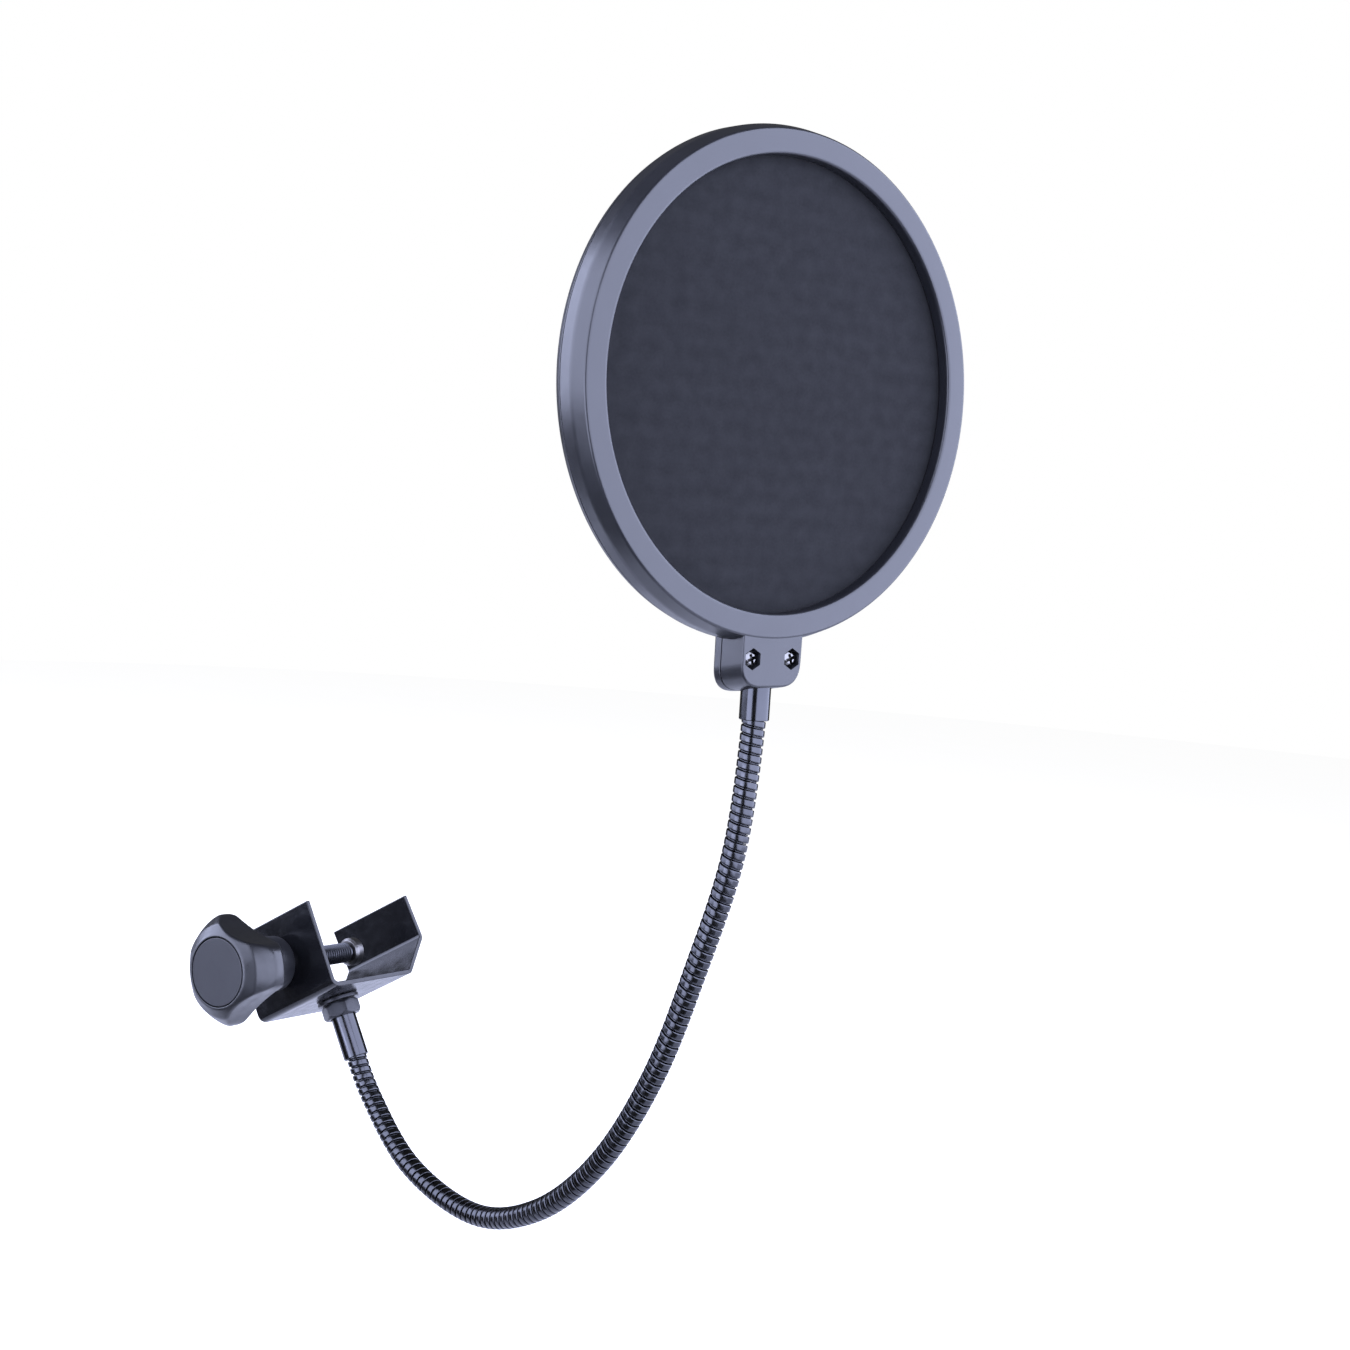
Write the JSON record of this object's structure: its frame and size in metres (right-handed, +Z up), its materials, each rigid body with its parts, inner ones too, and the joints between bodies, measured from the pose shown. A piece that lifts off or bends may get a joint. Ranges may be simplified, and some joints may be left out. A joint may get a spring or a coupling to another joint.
{
  "type": "pop filter",
  "caption": "Round fabric pop filter in a slim plastic hoop, on a flexible steel gooseneck with a bent-steel screw clamp and a three-cornered knob.",
  "frame": {"origin": "middle of the stand tube that the clamp grips", "axes": "+Z up, +Y along the clamp screw from the knob to the far jaw, the gripped tube rises towards +X"},
  "size_m": [0.2556, 0.1526, 0.3799],
  "materials": {
    "bracket_paint": "gloss black",
    "bush_steel": "dull zinc",
    "bolt_nickel": "bright nickel",
    "nut_black": "satin black",
    "ferrule_black_nickel": "satin black nickel",
    "pad_steel": "satin steel",
    "screw_black": "oiled black oxide",
    "knob_plastic": "satin dark grey",
    "knob_cap": "matt grey",
    "hoop_plastic": "satin dark grey",
    "spacer_plastic": "matt black",
    "mesh_fabric": "fine charcoal weave",
    "neck_coil": "satin black nickel",
    "neck_spring": "plain steel"
  },
  "bodies": {
    "clamp": {"clamp_bracket": "bracket_paint", "thread_bush": "bush_steel", "neck_bolt": "bolt_nickel", "washer": "bush_steel", "hex_nut": "nut_black", "lower_ferrule": "ferrule_black_nickel", "neck_outer_coil_0": "neck_coil", "neck_inner_spring_0": "neck_spring"},
    "pad": {"pressure_pad": "pad_steel"},
    "screw": {"clamp_screw": "screw_black", "knob": "knob_plastic", "knob_cap": "knob_cap"},
    "neck_1": {"neck_outer_coil_1": "neck_coil", "neck_inner_spring_1": "neck_spring"},
    "neck_2": {"neck_outer_coil_2": "neck_coil", "neck_inner_spring_2": "neck_spring"},
    "neck_3": {"neck_outer_coil_3": "neck_coil", "neck_inner_spring_3": "neck_spring"},
    "neck_4": {"neck_outer_coil_4": "neck_coil", "neck_inner_spring_4": "neck_spring"},
    "neck_5": {"neck_outer_coil_5": "neck_coil", "neck_inner_spring_5": "neck_spring"},
    "neck_6": {"neck_outer_coil_6": "neck_coil", "neck_inner_spring_6": "neck_spring"},
    "neck_7": {"neck_outer_coil_7": "neck_coil", "neck_inner_spring_7": "neck_spring"},
    "head": {"neck_outer_coil_8": "neck_coil", "neck_inner_spring_8": "neck_spring", "upper_ferrule": "ferrule_black_nickel", "front_hoop": "hoop_plastic", "rear_hoop": "hoop_plastic", "front_fabric": "mesh_fabric", "rear_fabric": "mesh_fabric", "spacer_ring": "spacer_plastic", "tab_screw_left": "bolt_nickel", "tab_screw_right": "bolt_nickel", "tab_nut_left": "bush_steel", "tab_nut_right": "bush_steel"}
  },
  "joints": [
    {"name": "jaw_travel", "type": "slide", "parent": "clamp", "child": "pad", "axis": [0, 1, 0], "range_m": [-0.032, 0.001]},
    {"name": "knob_turn", "type": "hinge", "parent": "pad", "child": "screw", "pos_m": [0, 0, 0], "axis": [0, 1, 0], "range_deg": [-9200, 280]},
    {"name": "lower_bend", "type": "hinge", "parent": "clamp", "child": "neck_1", "pos_m": [0.03368, -0.02636, -0.05152], "axis": [-0.196, -0.9805, 0.0126], "range_deg": [-20, 12]},
    {"name": "lower_sway", "type": "hinge", "parent": "neck_1", "child": "neck_2", "pos_m": [0.06722, -0.03123, -0.07301], "axis": [0.2839, -0.0444, 0.9578], "range_deg": [-20, 20]},
    {"name": "lower_bend_2", "type": "hinge", "parent": "neck_2", "child": "neck_3", "pos_m": [0.10627, -0.0393, -0.07307], "axis": [-0.196, -0.9805, 0.0126], "range_deg": [-20, 12]},
    {"name": "lower_sway_2", "type": "hinge", "parent": "neck_3", "child": "neck_4", "pos_m": [0.13986, -0.04915, -0.05289], "axis": [-0.644, 0.1384, 0.7524], "range_deg": [-20, 20]},
    {"name": "upper_bend", "type": "hinge", "parent": "neck_4", "child": "neck_5", "pos_m": [0.16462, -0.05488, -0.02145], "axis": [-0.196, -0.9805, 0.0126], "range_deg": [-20, 20]},
    {"name": "upper_sway", "type": "hinge", "parent": "neck_5", "child": "neck_6", "pos_m": [0.18033, -0.05684, 0.0159], "axis": [-0.9386, 0.1913, 0.287], "range_deg": [-20, 20]},
    {"name": "upper_bend_2", "type": "hinge", "parent": "neck_6", "child": "neck_7", "pos_m": [0.19112, -0.0568, 0.05509], "axis": [-0.196, -0.9805, 0.0126], "range_deg": [-20, 20]},
    {"name": "upper_sway_2", "type": "hinge", "parent": "neck_7", "child": "head", "pos_m": [0.19599, -0.056, 0.09534], "axis": [-0.9803, 0.1963, 0.0218], "range_deg": [-20, 20]}
  ],
  "couplings": [
    {"joint": "jaw_travel", "follows": "knob_turn", "m_per_rad": 0.00019894},
    {"joint": "lower_bend_2", "follows": "lower_bend", "ratio": 1},
    {"joint": "lower_sway_2", "follows": "lower_sway", "ratio": 1},
    {"joint": "upper_bend_2", "follows": "upper_bend", "ratio": 1},
    {"joint": "upper_sway_2", "follows": "upper_sway", "ratio": 1}
  ]
}
